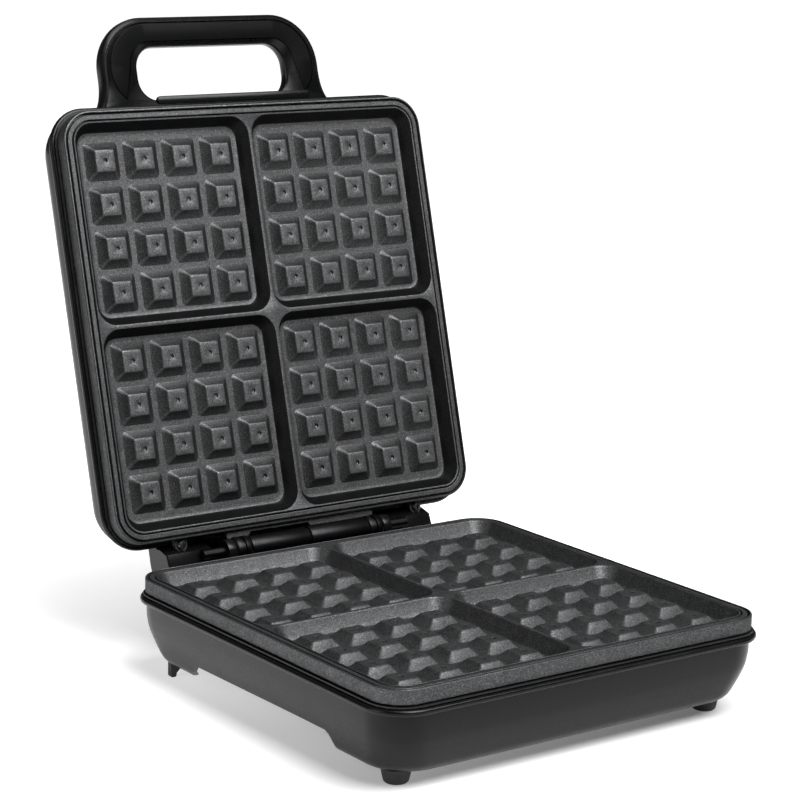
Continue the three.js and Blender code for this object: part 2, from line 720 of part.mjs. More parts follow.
// All handle outlines are drawn with the reach from the lid's middle as Y.
function handleOutline() {
  const foot = BEAD_HALF - 12;
  const flare = 6;
  const flareEnd = OPENING_FOOT + 13;
  const far = HANDLE_REACH - HANDLE_CORNER;
  const middle = HANDLE_HALF - HANDLE_CORNER;
  const shape = new THREE.Shape();
  shape.moveTo(-HANDLE_HALF - flare, foot);
  shape.lineTo(HANDLE_HALF + flare, foot);
  shape.lineTo(HANDLE_HALF + flare, BEAD_HALF);
  shape.quadraticCurveTo(HANDLE_HALF, OPENING_FOOT, HANDLE_HALF, flareEnd);
  shape.lineTo(HANDLE_HALF, far);
  shape.absarc(middle, far, HANDLE_CORNER, 0, Math.PI / 2, false);
  shape.lineTo(-middle, HANDLE_REACH);
  shape.absarc(-middle, far, HANDLE_CORNER, Math.PI / 2, Math.PI, false);
  shape.lineTo(-HANDLE_HALF, flareEnd);
  shape.quadraticCurveTo(-HANDLE_HALF, OPENING_FOOT, -HANDLE_HALF - flare, BEAD_HALF);
  shape.holes.push(handleOpening());
  return shape;
}

function handleOpening() {
  const round = 12;
  const side = OPENING_HALF - round;
  const near = OPENING_FOOT + round;
  const far = HANDLE_REACH - HANDLE_BAR - round;
  const opening = new THREE.Path();
  opening.moveTo(-OPENING_HALF, far);
  opening.absarc(-side, far, round, Math.PI, Math.PI / 2, true);
  opening.absarc(side, far, round, Math.PI / 2, 0, true);
  opening.absarc(side, near, round, 0, -Math.PI / 2, true);
  opening.absarc(-side, near, round, -Math.PI / 2, -Math.PI, true);
  return opening;
}

// The flat cover in the handle's face: an arch whose legs taper to a point at the lid.
function panelOutline(margin) {
  const outer = HANDLE_HALF - 5.5 - margin;
  const top = HANDLE_REACH - 3.8 - margin;
  const corner = HANDLE_CORNER - 4 - margin;
  const inner = OPENING_HALF + 5.5 + margin;
  const innerTop = HANDLE_REACH - HANDLE_BAR + 3 + margin;
  const innerCorner = 14;
  const tipX = 58.3;
  const tip = OPENING_FOOT + 1.3 + 2 * margin;
  const shape = new THREE.Shape();
  shape.moveTo(tipX, tip);
  shape.quadraticCurveTo(outer, tip + 6, outer, top - corner);
  shape.absarc(outer - corner, top - corner, corner, 0, Math.PI / 2, false);
  shape.absarc(-outer + corner, top - corner, corner, Math.PI / 2, Math.PI, false);
  shape.quadraticCurveTo(-outer, tip + 6, -tipX, tip);
  shape.lineTo(-inner, innerTop - innerCorner);
  shape.absarc(-inner + innerCorner, innerTop - innerCorner, innerCorner, Math.PI, Math.PI / 2, true);
  shape.absarc(inner - innerCorner, innerTop - innerCorner, innerCorner, Math.PI / 2, 0, true);
  return shape;
}

// Drawn flat with the reach along +Y, an outline is turned to point at the user.
function towardsUser(geometry) {
  return geometry.rotateZ(Math.PI);
}

function handlePanel(margin, depth) {
  const options = { depth, bevelEnabled: false, curveSegments: 6 };
  const geometry = new THREE.ExtrudeGeometry(panelOutline(margin), options);
  return towardsUser(geometry).translate(0, 0, LID_LEVEL + HANDLE_FACE);
}

function handleLoop() {
  const round = 1.8;
  const options = {
    depth: HANDLE_THICKNESS - 2 * round,
    bevelThickness: round,
    bevelSize: round,
    bevelOffset: -round,
    bevelSegments: 2,
    curveSegments: 6,
  };
  const loop = towardsUser(new THREE.ExtrudeGeometry(handleOutline(), options));
  loop.translate(0, 0, LID_LEVEL + HANDLE_FACE + round);
  const pocket = handlePanel(-GAP, PANEL_DEPTH + GAP + 1).translate(0, 0, -1);
  const shell = overturn(casingEnvelope(GAP));
  const pilotLevel = LID_LEVEL - HANDLE_SCREW_LEVEL;
  const pilots = [-1, 1].map((side) => (
    rod(HANDLE_SCREW_RADIUS + GAP, 16, 'y', side * HANDLE_SCREW_X, -BEAD_HALF, pilotLevel)
  ));
  return combine(loop, [], [shell, pocket, ...pilots]);
}

function frontLip() {
  const half = 50;
  const outline = new THREE.Shape();
  outline.absarc(half - 2.2, 0, 2.2, -Math.PI / 2, Math.PI / 2, false);
  outline.absarc(-half + 2.2, 0, 2.2, Math.PI / 2, 1.5 * Math.PI, false);
  const geometry = new THREE.ExtrudeGeometry(outline, { depth: 2.6, bevelEnabled: false, curveSegments: 6 });
  return towardsUser(geometry).translate(0, -BEAD_HALF - 2.2 - GAP, LID_LEVEL + 6.6);
}

// ---- Assembly -----------------------------------------------------------------------------
function place(group, name, geometry, material) {
  const mesh = new THREE.Mesh(geometry, material);
  mesh.name = name;
  group.add(mesh);
  return mesh;
}

function buildBase() {
  const base = new THREE.Group();
  place(base, 'base_shell', baseShell(), satinPlastic());
  place(base, 'base_bottom_cover', bottomCover(), finish('#1c1d1e', 0.5, 0.4));
  place(base, 'lower_plate', bakingPlate(), castCoat());
  place(base, 'lower_heating_element', heatingElement(), steel());
  place(base, 'lower_heat_shield', heatShield(), steel());
  place(base, 'hinge_shaft', rod(SHAFT_RADIUS, 2 * SHAFT_HALF, 'x', 0, HINGE_Y, HINGE_Z, 20), steel());
  const half = SLEEVE_LENGTH;
  const sleeveLeft = hingeRing(BORE_RADIUS, SLEEVE_RADIUS, -half, -GAP / 2, 0.3);
  const sleeveRight = hingeRing(BORE_RADIUS, SLEEVE_RADIUS + 0.4, GAP / 2, half, 0.3);
  place(base, 'hinge_sleeve_left', sleeveLeft, mattePlastic());
  place(base, 'hinge_sleeve_right', sleeveRight, mattePlastic());
  const collarEnd = LUG_INNER - GAP;
  const collarLeft = hingeRing(BORE_RADIUS, COLLAR_RADIUS, -collarEnd, -half - GAP, 0.8);
  const collarRight = hingeRing(BORE_RADIUS, COLLAR_RADIUS, half + GAP, collarEnd, 0.8);
  place(base, 'hinge_collar_left', collarLeft, steel());
  place(base, 'hinge_collar_right', collarRight, steel());
  place(base, 'lower_thermostat', thermostat().translate(38, -10, 0), mattePlastic());
  place(base, 'thermal_fuse', rod(3, 22, 'x', -38, -10, SHIELD_FLOOR - SHEET - 4, 12), steel());
  place(base, 'terminal_block', terminalBlock(), finish('#d8d4c8', 0.6, 0));
  place(base, 'cord_gland', cordGland(), rubber());
  for (const [word, side] of [['left', -1], ['right', 1]]) {
    place(base, `front_foot_${word}`, frontFoot(side), rubber());
    place(base, `rear_leg_${word}`, rearLeg(side), mattePlastic());
    for (const [end, signY] of [['front', -1], ['rear', 1]]) {
      const fastener = place(base, `cover_screw_${end}_${word}`, screw(3, 1.8, 1.3, 11), steel());
      fastener.rotation.x = Math.PI;
      fastener.position.set(side * BOSS_X, signY * BOSS_Y, COVER_LEVEL - GAP);
    }
  }
  return base;
}

function buildLid() {
  const lid = new THREE.Group();
  place(lid, 'lid_shell', lidShell(), satinPlastic());
  place(lid, 'upper_plate', upperPlate(), castCoat());
  place(lid, 'upper_heating_element', overturn(heatingElement()), steel());
  place(lid, 'upper_heat_shield', overturn(heatShield()), steel());
  place(lid, 'handle_loop', handleLoop(), satinPlastic());
  place(lid, 'handle_panel', handlePanel(0, PANEL_DEPTH), satinPlastic());
  place(lid, 'lid_front_lip', frontLip(), satinPlastic());
  place(lid, 'hinge_cover', hingeCover(), satinPlastic());
  place(lid, 'upper_thermostat', overturn(thermostat().translate(38, -10, 0)), mattePlastic());
  place(lid, 'lamp_board', lampBoard(), finish('#39633f', 0.6, 0));
  place(lid, 'power_lens', indicatorLens(-1), lens('#b3241c'));
  place(lid, 'ready_lens', indicatorLens(1), lens('#3f8f3a'));
  for (const [word, side] of [['left', -1], ['right', 1]]) {
    place(lid, `lid_arm_${word}`, lidArm(side), satinPlastic());
    const earScrew = place(lid, `ear_screw_${word}`, screw(2.6, 1.7, EAR_SCREW_RADIUS, 10), steel());
    earScrew.rotation.x = Math.PI;
    earScrew.position.set(side * EAR_X + EAR_SHIFT, EAR_Y, LID_LEVEL - EAR_FACE - GAP);
    const handleScrew = place(lid, `handle_screw_${word}`, screw(3.4, 2, HANDLE_SCREW_RADIUS, 15), steel());
    handleScrew.rotation.x = -Math.PI / 2;
    handleScrew.position.set(side * HANDLE_SCREW_X, -BEAD_HALF + 9.2, LID_LEVEL - HANDLE_SCREW_LEVEL);
  }
  return lid;
}

// Swings the shut lid open about the hinge axis.
function openLid(lid, degrees) {
  const pivot = new THREE.Group();
  pivot.position.set(0, HINGE_Y, HINGE_Z);
  pivot.rotation.x = THREE.MathUtils.degToRad(-degrees);
  lid.position.set(0, -HINGE_Y, -HINGE_Z);
  pivot.add(lid);
  return pivot;
}

// The origin is the middle of the open machine's box, on the surface that it stands on.
function standOnOrigin(model) {
  const bounds = new THREE.Box3().setFromObject(model, true);
  const centre = bounds.getCenter(new THREE.Vector3());
  model.position.set(-centre.x, -centre.y, -bounds.min.z);
}

const waffleMaker = new THREE.Group();
waffleMaker.add(buildBase(), openLid(buildLid(), OPEN_ANGLE));
for (const solid of solids) {
  solid.delete();
}
standOnOrigin(waffleMaker);

export default waffleMaker;
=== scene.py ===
"""The looks of an open four-section waffle maker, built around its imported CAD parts.

Local frames are in millimetres. The base's local frame has its origin at the middle of the lower
plate, level with the pyramid tops, +X right along the hinge, +Y towards the hinge and +Z up out of
the plate. The lid's local frame is the same frame on the upper plate, so that one function serves
both halves.
"""

import json
import math

import bmesh
import bpy
from mathutils import Matrix, Vector


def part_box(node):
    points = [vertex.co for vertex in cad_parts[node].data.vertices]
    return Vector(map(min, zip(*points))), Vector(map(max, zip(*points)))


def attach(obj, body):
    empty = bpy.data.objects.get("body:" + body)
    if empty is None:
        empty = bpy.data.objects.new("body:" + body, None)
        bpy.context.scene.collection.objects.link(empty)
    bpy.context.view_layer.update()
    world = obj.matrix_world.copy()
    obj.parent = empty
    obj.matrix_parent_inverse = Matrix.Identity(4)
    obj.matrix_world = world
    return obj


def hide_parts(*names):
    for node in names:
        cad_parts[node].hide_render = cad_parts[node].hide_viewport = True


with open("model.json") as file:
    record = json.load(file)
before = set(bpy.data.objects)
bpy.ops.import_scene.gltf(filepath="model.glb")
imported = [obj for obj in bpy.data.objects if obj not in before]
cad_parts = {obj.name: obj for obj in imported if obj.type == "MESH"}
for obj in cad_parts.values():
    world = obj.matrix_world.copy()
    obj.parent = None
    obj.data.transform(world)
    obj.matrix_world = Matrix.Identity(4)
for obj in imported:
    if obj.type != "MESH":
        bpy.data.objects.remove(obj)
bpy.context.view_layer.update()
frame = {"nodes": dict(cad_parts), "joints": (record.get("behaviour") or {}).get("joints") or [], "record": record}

# ---- Driving dimensions, millimetres ------------------------------------------------------
MM = 0.001
plate_low, plate_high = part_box("lower_plate")
shell_low, shell_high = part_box("base_shell")
floor_low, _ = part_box("front_foot_left")
hinge = frame["joints"][0]
AXIS = Vector(hinge["pos_m"])
OPEN_ANGLE = math.radians(max(hinge["range_deg"]))

RIM_HEIGHT = 3.0
PLATE_SKIRT = -4.6
PLATE_HALF = (plate_high.x - plate_low.x) / 2 / MM
PLATE_CENTRE_Y = (plate_low.y + plate_high.y) / 2
TOPS_LEVEL = plate_high.z - RIM_HEIGHT * MM
BEAD_HALF = (shell_high.x - shell_low.x) / 2 / MM
CASING_DEPTH = (TOPS_LEVEL - shell_low.z) / MM
FLOOR_LEVEL = (floor_low.z - TOPS_LEVEL) / MM
LID_LEVEL = 2 * (AXIS.z - TOPS_LEVEL) / MM
HINGE_Y = (AXIS.y - PLATE_CENTRE_Y) / MM
HINGE_Z = LID_LEVEL / 2

PITCH_X, PITCH_Y = 24, 23.6
FIRST_X, FIRST_Y = 18.9, 18.4
PER_ROW = 4
PYRAMID_TOP, PYRAMID_BASE, PYRAMID_HEIGHT = 5.7, 10.1, 4.6
PYRAMID_STEPS = 3
CAVITY_EDGE, DIVIDER_HALF = 109, 1.2
CAVITY_HALF = (CAVITY_EDGE - DIVIDER_HALF) / 2
CAVITY_CENTRE = CAVITY_EDGE - CAVITY_HALF
PLATE_RADIUS = 17

# Angles, in degrees, above which a piece's edges are drawn sharp.
SHARP_CASING, SHARP_PLATE, SHARP_HANDLE = 38, 24, 20

BASE_FRAME = Matrix.Translation((0, PLATE_CENTRE_Y, TOPS_LEVEL)) @ Matrix.Scale(MM, 4)
LID_FRAME = (
    Matrix.Translation(AXIS)
    @ Matrix.Rotation(-OPEN_ANGLE, 4, "X")
    @ Matrix.Translation(-AXIS)
    @ BASE_FRAME
    @ Matrix.Translation((0, 0, LID_LEVEL))
    @ Matrix.Rotation(math.pi, 4, "Y")
)


# ---- Materials ----------------------------------------------------------------------------
class Surface:
    """A node material with colour variation, grain, wear and bump, on object coordinates."""

    def __init__(self, name, colour, metallic=0.0, specular=0.5):
        self.material = bpy.data.materials.new(name)
        self.material.use_nodes = True
        self.tree = self.material.node_tree
        self.shader = self.tree.nodes["Principled BSDF"]
        self.shader.inputs["Metallic"].default_value = metallic
        self.shader.inputs["Specular IOR Level"].default_value = specular
        self.coordinates = self.tree.nodes.new("ShaderNodeTexCoord")
        self.colour = self.plain(colour)
        self.height = None

    def plain(self, colour):
        node = self.tree.nodes.new("ShaderNodeRGB")
        node.outputs[0].default_value = (*colour, 1)
        return node.outputs[0]

    def noise(self, scale, detail=3.0, stretch=(1, 1, 1)):
        mapping = self.tree.nodes.new("ShaderNodeMapping")
        mapping.inputs["Scale"].default_value = stretch
        self.tree.links.new(self.coordinates.outputs["Object"], mapping.inputs["Vector"])
        node = self.tree.nodes.new("ShaderNodeTexNoise")
        node.inputs["Scale"].default_value = scale
        node.inputs["Detail"].default_value = detail
        self.tree.links.new(mapping.outputs[0], node.inputs["Vector"])
        return node.outputs["Fac"]

    def ramp(self, value, low, high, start=0.0, end=1.0):
        node = self.tree.nodes.new("ShaderNodeMapRange")
        node.inputs["From Min"].default_value = low
        node.inputs["From Max"].default_value = high
        node.inputs["To Min"].default_value = start
        node.inputs["To Max"].default_value = end
        self.tree.links.new(value, node.inputs["Value"])
        return node.outputs["Result"]

    def measure(self, source, operation, direction=(0, 0, 0)):
        """The length of a coordinate vector, or its dot product with a direction."""
        node = self.tree.nodes.new("ShaderNodeVectorMath")
        node.operation = operation
        node.inputs[1].default_value = direction
        self.tree.links.new(self.coordinates.outputs[source], node.inputs[0])
        return node.outputs["Value"]

    def combine(self, operation, first, second):
        node = self.tree.nodes.new("ShaderNodeMath")
        node.operation = operation
        self.tree.links.new(first, node.inputs[0])
        self.tree.links.new(second, node.inputs[1])
        return node.outputs[0]

    def tint(self, factor, colour):
        node = self.tree.nodes.new("ShaderNodeMix")
        node.data_type = "RGBA"
        self.tree.links.new(factor, node.inputs["Factor"])
        self.tree.links.new(self.colour, node.inputs["A"])
        node.inputs["B"].default_value = (*colour, 1)
        self.colour = node.outputs["Result"]

    def vary_roughness(self, factor, low, high):
        self.tree.links.new(self.ramp(factor, 0.3, 0.7, low, high), self.shader.inputs["Roughness"])

    def bump(self, height, strength, distance):
        node = self.tree.nodes.new("ShaderNodeBump")
        node.inputs["Strength"].default_value = strength
        node.inputs["Distance"].default_value = distance
        self.tree.links.new(height, node.inputs["Height"])
        if self.height is not None:
            self.tree.links.new(self.height, node.inputs["Normal"])
        self.height = node.outputs["Normal"]

    def done(self):
        self.tree.links.new(self.colour, self.shader.inputs["Base Color"])
        if self.height is not None:
            self.tree.links.new(self.height, self.shader.inputs["Normal"])
        return self.material


def nonstick_coat(name, facing, steep_painted_shade):
    """Dark sprayed coating: fine speckle over uneven grey, with painted shade darkening the sides that lean."""
    look = Surface(name, (0.072, 0.073, 0.075), metallic=0.85)
    look.shader.inputs["Specular Tint"].default_value = (0.45, 0.45, 0.45, 1)
    fine = look.noise(1500, 2)
    cloud = look.noise(35, 3)
    look.tint(look.ramp(cloud, 0.35, 0.7, 0, 0.5), (0.095, 0.096, 0.098))
    look.tint(look.ramp(fine, 0.52, 0.66, 0, 0.3), (0.3, 0.305, 0.31))
    look.tint(look.ramp(fine, 0.46, 0.34, 0, 0.35), (0.006, 0.006, 0.006))
    # Painted shade: slopes that lean away from the plate's facing are tinted towards black, up to the given
    # strength; flat tops and upright walls are left alone.
    flatness = look.measure("Normal", "DOT_PRODUCT", facing)
    not_flat = look.ramp(flatness, 0.93, 0.7, 0, steep_painted_shade)
    not_upright = look.ramp(flatness, 0.1, 0.3, 0, steep_painted_shade)
    look.tint(look.combine("MINIMUM", not_flat, not_upright), (0.004, 0.004, 0.004))
    look.vary_roughness(look.noise(220, 3), 0.42, 0.55)
    look.bump(fine, 0.35, 0.00015)
    look.bump(look.noise(600, 2), 0.25, 0.0002)
    return look.done()


def satin_casing():
    """Moulded shell with a very fine texture and faint handling marks."""
    look = Surface("satin_casing", (0.003, 0.0031, 0.0032), specular=0.22)
    look.tint(look.ramp(look.noise(14, 3), 0.4, 0.7, 0, 0.5), (0.0045, 0.0046, 0.0048))
    look.tint(look.ramp(look.noise(900, 2), 0.68, 0.76, 0, 0.3), (0.015, 0.015, 0.015))
    look.vary_roughness(look.noise(60, 4, (1, 1, 2)), 0.24, 0.31)
    look.bump(look.noise(2200, 2), 0.1, 0.00004)
    return look.done()


def handle_panel_look():
    """The handle's inset panel, duller than the shell."""
    look = Surface("handle_panel_look", (0.003, 0.0031, 0.0033), specular=0.05)
    look.tint(look.ramp(look.noise(18, 3), 0.4, 0.7, 0, 0.5), (0.0045, 0.0046, 0.0048))
    look.vary_roughness(look.noise(80, 4), 0.34, 0.42)
    look.bump(look.noise(2000, 2), 0.1, 0.00005)
    return look.done()


def matte_black(name, roughness):
    """Unpolished inner and underside pieces."""
    look = Surface(name, (0.012, 0.012, 0.0125))
    look.tint(look.ramp(look.noise(25, 3), 0.4, 0.7, 0, 0.6), (0.018, 0.018, 0.019))
    look.vary_roughness(look.noise(90, 3), roughness - 0.1, roughness + 0.05)
    look.bump(look.noise(1400, 2), 0.2, 0.0001)
    return look.done()


def turned_steel(name, colour, low, high):
    """Steel with fine turning lines around the X axis and slight discolouring."""
    look = Surface(name, colour, metallic=1.0)
    look.tint(look.ramp(look.noise(40, 3), 0.4, 0.7, 0, 0.5), tuple(0.75 * c for c in colour))
    lines = look.noise(300, 3, (8, 0.3, 0.3))
    look.vary_roughness(lines, low, high)
    look.bump(lines, 0.15, 0.00004)
    return look.done()


def sheet_steel():
    """Rolled sheet with straight grain, darkened by heat."""
    look = Surface("sheet_steel", (0.05, 0.05, 0.051), metallic=1.0)
    grain = look.noise(120, 4, (0.2, 6, 6))
    look.tint(look.ramp(look.noise(20, 2), 0.4, 0.7, 0, 0.5), (0.035, 0.034, 0.033))
    look.vary_roughness(grain, 0.4, 0.55)
    look.bump(grain, 0.1, 0.00005)
    return look.done()


def black_rubber():
    """Matt rubber with dusty patches."""
    look = Surface("black_rubber", (0.012, 0.012, 0.012))
    look.tint(look.ramp(look.noise(70, 4), 0.45, 0.75, 0, 0.6), (0.025, 0.025, 0.025))
    look.vary_roughness(look.noise(150, 3), 0.6, 0.8)
    look.bump(look.noise(1500, 2), 0.3, 0.0001)
    return look.done()


def moulding(name, colour):
    """A plain coloured moulding or board."""
    look = Surface(name, colour)
    look.tint(look.ramp(look.noise(30, 3), 0.4, 0.7, 0, 0.5), tuple(0.8 * c for c in colour))
    look.vary_roughness(look.noise(120, 3), 0.45, 0.6)
    look.bump(look.noise(1200, 2), 0.2, 0.00008)
    return look.done()


def lens(name, colour):
    """A glossy coloured indicator lens with faint swirls inside."""
    look = Surface(name, colour, specular=0.6)
    look.tint(look.ramp(look.noise(160, 3), 0.4, 0.7, 0, 0.5), tuple(0.6 * c for c in colour))
    look.vary_roughness(look.noise(90, 2), 0.1, 0.2)
    look.bump(look.noise(400, 2), 0.08, 0.00005)
    return look.done()


LOOKS = {
    # The lower plate's coat has slight painted shade (0.2) on its leaning slopes.
    "nonstick_plate": nonstick_coat("nonstick_coat", (0, 0, 1), 0.2),
    "satin_casing": satin_casing(),
    "handle_panel": handle_panel_look(),
    "matte_black_plastic": matte_black("matte_black", 0.6),
    "cover_sheet": matte_black("black_enamel", 0.45),
    "hinge_steel": turned_steel("hinge_metal", (0.018, 0.018, 0.019), 0.3, 0.45),
    "screw_steel": turned_steel("screw_metal", (0.12, 0.12, 0.125), 0.25, 0.4),
    "element_steel": turned_steel("element_tube", (0.3, 0.29, 0.28), 0.35, 0.5),
    "shield_sheet": sheet_steel(),
    "foot_rubber": black_rubber(),
    "terminal_plastic": moulding("cream_moulding", (0.62, 0.57, 0.47)),
    "lamp_board": moulding("board_green", (0.03, 0.12, 0.05)),
    "red_lens": lens("lens_red", (0.45, 0.02, 0.015)),
    "green_lens": lens("lens_green", (0.04, 0.28, 0.03)),
}
# The upper plate gets its own copy of the coat with much stronger painted shade (0.88) on its leaning slopes.
LID_FACING = LID_FRAME.to_3x3() @ Vector((0, 0, 1))
LID_COAT_PAINTED_SHADE = nonstick_coat("lid_coat_painted_shade", LID_FACING.normalized(), 0.88)


# ---- Mesh helpers -------------------------------------------------------------------------
def rounded_ring(half_x, half_y, radius, z, steps=10, stops=(), centre=(0, 0)):
    """Points round a rounded rectangle, anticlockwise seen from +Z.

    The stops are places along every straight side that also get a point.
    """
    ring = []
    for corner in range(4):
        sign_x = 1 if corner in (0, 3) else -1
        sign_y = 1 if corner < 2 else -1
        for step in range(steps + 1):
            angle = (corner + step / steps) * math.pi / 2
            x = sign_x * (half_x - radius) + radius * math.cos(angle)
            y = sign_y * (half_y - radius) + radius * math.sin(angle)
            ring.append(Vector((x + centre[0], y + centre[1], z)))
        last = ring[-1]
        for stop in (stops if corner >= 2 else reversed(stops)):
            ring.append(Vector((stop, last.y, z)) if corner % 2 == 0 else Vector((last.x, stop, z)))
    return ring


def add_ring(mesh, points):
    return [mesh.verts.new(point) for point in points]


def bridge(mesh, below, above):
    """Joins two rings of equal length with quads."""
    count = len(below)
    for i in range(count):
        after = (i + 1) % count
        mesh.faces.new((below[i], below[after], above[after], above[i]))


def skin(mesh, rings, closed=False, cap_start=False, cap_end=False):
    """Skins a stack of rings, and returns the rings of vertices."""
    made = [add_ring(mesh, ring) for ring in rings]
    for below, above in zip(made, made[1:]):
        bridge(mesh, below, above)
    if closed:
        bridge(mesh, made[-1], made[0])
    if cap_start:
        mesh.faces.new(reversed(made[0]))
    if cap_end:
        mesh.faces.new(made[-1])
    return made


def fill_between(mesh, rings):
    """Fills the flat area bounded by the outer ring and the holes inside it."""
    edges = []
    for ring in rings:
        count = len(ring)
        for i in range(count):
            pair = (ring[i], ring[(i + 1) % count])
            edges.append(mesh.edges.get(pair) or mesh.edges.new(pair))
    bmesh.ops.triangle_fill(mesh, edges=edges, use_beauty=True)


def finish_piece(name, mesh, place, body, slot, replaced, sharp=SHARP_CASING):
    """Turns a local mesh into a piece of the model, instead of the CAD node it replaces."""
    bmesh.ops.recalc_face_normals(mesh, faces=mesh.faces)
    data = bpy.data.meshes.new(name)
    mesh.to_mesh(data)
    mesh.free()
    data.transform(place)
    data.shade_smooth()
    data.set_sharp_from_angle(angle=math.radians(sharp))
    piece = bpy.data.objects.new(name, data)
    bpy.context.scene.collection.objects.link(piece)
    data.materials.append(LOOKS[slot])
    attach(piece, body)
    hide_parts(replaced)
    return piece


def turned(mesh, profile, centre, axis, segments):
    """Adds a closed body turned from (radius, distance along the axis) pairs."""
    along = Vector(axis).normalized()
    side = along.orthogonal().normalized()
    other = along.cross(side)
    rings = []
    for radius, distance in profile:
        middle = Vector(centre) + along * distance
        rings.append([
            middle + (side * math.cos(turn) + other * math.sin(turn)) * radius
            for turn in (2 * math.pi * i / segments for i in range(segments))
        ])
    closed = profile[0] == profile[-1]
    if closed:
        skin(mesh, rings[:-1], closed=True)
    else:
        skin(mesh, rings, cap_start=True, cap_end=True)


def rounded_corners(points, radius, steps=5):
    """Rounds every corner of a flat outline with the same radius."""
    outline = []
    count = len(points)
    for i, point in enumerate(points):
        before = Vector(points[i - 1]) - Vector(point)
        after = Vector(points[(i + 1) % count]) - Vector(point)
        reach = min(radius, before.length * 0.45, after.length * 0.45)
        start = Vector(point) + before.normalized() * reach
        end = Vector(point) + after.normalized() * reach
        for step in range(steps + 1):
            t = step / steps
            outline.append(start * (1 - t) ** 2 + Vector(point) * 2 * t * (1 - t) + end * t * t)
    return outline


def prism_along_x(mesh, outline, from_x, to_x, bevel):
    """Extrudes a (y, z) outline along X with softened end edges."""
    middle = sum((Vector(p) for p in outline), Vector((0, 0))) / len(outline)
    size = max((Vector(p) - middle).length for p in outline)
    shrunk = [middle + (Vector(p) - middle) * (1 - bevel / size) for p in outline]
    sections = [(from_x, shrunk), (from_x + bevel, outline), (to_x - bevel, outline), (to_x, shrunk)]
    rings = [[Vector((x, p[0], p[1])) for p in section] for x, section in sections]
    skin(mesh, rings, cap_start=True, cap_end=True)


# ---- Cooking plates -----------------------------------------------------------------------
def plate_ring(inset, z):
    """A ring round the plate's outline."""
    return rounded_ring(PLATE_HALF - inset, PLATE_HALF - inset, PLATE_RADIUS - inset, z, 16)


def rim_rings():
    """The rim from the cavities' ridge outwards, over the outer edge and down to the skirt."""
    ridge = PLATE_HALF - CAVITY_EDGE - 0.85
    top = RIM_HEIGHT
    profile = [
        (ridge, top),
        (ridge - 0.15, top - 0.12),
        (ridge - 0.3, top - 2.2),
        (ridge - 0.9, top - 2.2),
        (ridge - 1.1, top - 0.25),
        (ridge - 1.3, top - 0.15),
        (2.5, top - 0.15),
        (2.3, top - 0.3),
        (2.15, top - 2.4),
        (1.3, top - 2.4),
        (1.1, top - 0.2),
        (0.9, top),
        (0.6, top),
        (0.25, top - 0.12),
        (0.06, top - 0.4),
        (0.0, top - 0.8),
        (0.0, PLATE_SKIRT + 0.5),
        (0.15, PLATE_SKIRT + 0.15),
        (0.5, PLATE_SKIRT),
        (4.0, PLATE_SKIRT),
        (11.7, PLATE_SKIRT),
        (11.7, PLATE_SKIRT - 3),
    ]
    return [plate_ring(inset, z) for inset, z in profile]


def cavity_rings(x, y):
    """One cavity, from its rim edge down the leaning wall to the floor."""
    profile = [
        (-0.42, RIM_HEIGHT, 10.9),
        (-0.18, RIM_HEIGHT - 0.1, 10.7),
        (0.05, RIM_HEIGHT - 0.35, 10.5),
        (0.3, RIM_HEIGHT - 0.9, 10.3),
        (1.6, RIM_HEIGHT - 3.2, 9.4),
        (3.0, RIM_HEIGHT - 5.6, 8.2),
        (3.7, RIM_HEIGHT - 6.7, 7.6),
        (4.4, RIM_HEIGHT - 7.3, 7.0),
        (5.3, RIM_HEIGHT - 7.55, 6.3),
        (6.2, -PYRAMID_HEIGHT, 5.6),
    ]
    return [
        rounded_ring(CAVITY_HALF - inset, CAVITY_HALF - inset, radius, z, 12, (), (x, y))
        for inset, z, radius in profile
    ]


def pyramid_rings(x, y):
    """A cut-off pyramid with soft corners and a small round pit in its top."""
    slope = (PYRAMID_BASE - PYRAMID_TOP) / PYRAMID_HEIGHT
    profile = [
        (PYRAMID_BASE + 0.4, -PYRAMID_HEIGHT - 0.05, 2.4),
        (PYRAMID_BASE - 0.05, -PYRAMID_HEIGHT + 0.15, 2.2),
        (PYRAMID_TOP + slope * 0.6, -0.6, 1.3),
        (PYRAMID_TOP + slope * 0.2, -0.28, 1.15),
        (PYRAMID_TOP - 0.15, -0.08, 1.0),
        (PYRAMID_TOP - 0.5, 0.0, 0.8),
    ]
    return [
        rounded_ring(half, half, radius, z, PYRAMID_STEPS, (), (x, y))
        for half, z, radius in profile
    ]


def pit_rings(x, y, count):
    """The pit in a pyramid's top, with as many points round it as the top's edge has."""
    profile = [(1.55, 0.0), (1.3, -0.1), (1.2, -0.5), (1.1, -1.1), (0.5, -1.4)]
    offset = math.pi / 4 - math.pi / count * PYRAMID_STEPS
    return [
        [
            Vector((x + r * math.cos(offset + 2 * math.pi * i / count),
                    y + r * math.sin(offset + 2 * math.pi * i / count), z))
            for i in range(count)
        ]
        for r, z in profile
    ]


def add_pyramid(mesh, x, y):
    sides = pyramid_rings(x, y)
    rings = sides + pit_rings(x, y, len(sides[0]))
    skin(mesh, rings, cap_end=True)


def plate_mesh():
    """One cooking plate: the rim, four cavities and the pyramids that stand in them."""
    mesh = bmesh.new()
    rim = skin(mesh, rim_rings(), cap_end=True)
    edges = [rim[0]]
    for sign_x in (-1, 1):
        for sign_y in (-1, 1):
            rings = cavity_rings(sign_x * CAVITY_CENTRE, sign_y * CAVITY_CENTRE)
            edges.append(skin(mesh, rings, cap_end=True)[0])
            for column in range(PER_ROW):
                for row in range(PER_ROW):
                    x = sign_x * (FIRST_X + column * PITCH_X)
                    y = sign_y * (FIRST_Y + row * PITCH_Y)
                    add_pyramid(mesh, x, y)
    fill_between(mesh, edges)
    return mesh


EAR_X, EAR_Y, EAR_RADIUS = 77.65, PLATE_HALF + 3.3, 4.0
EAR_SHIFT = 1.6
EAR_FACE, EAR_THICKNESS = -2.0, 2.6


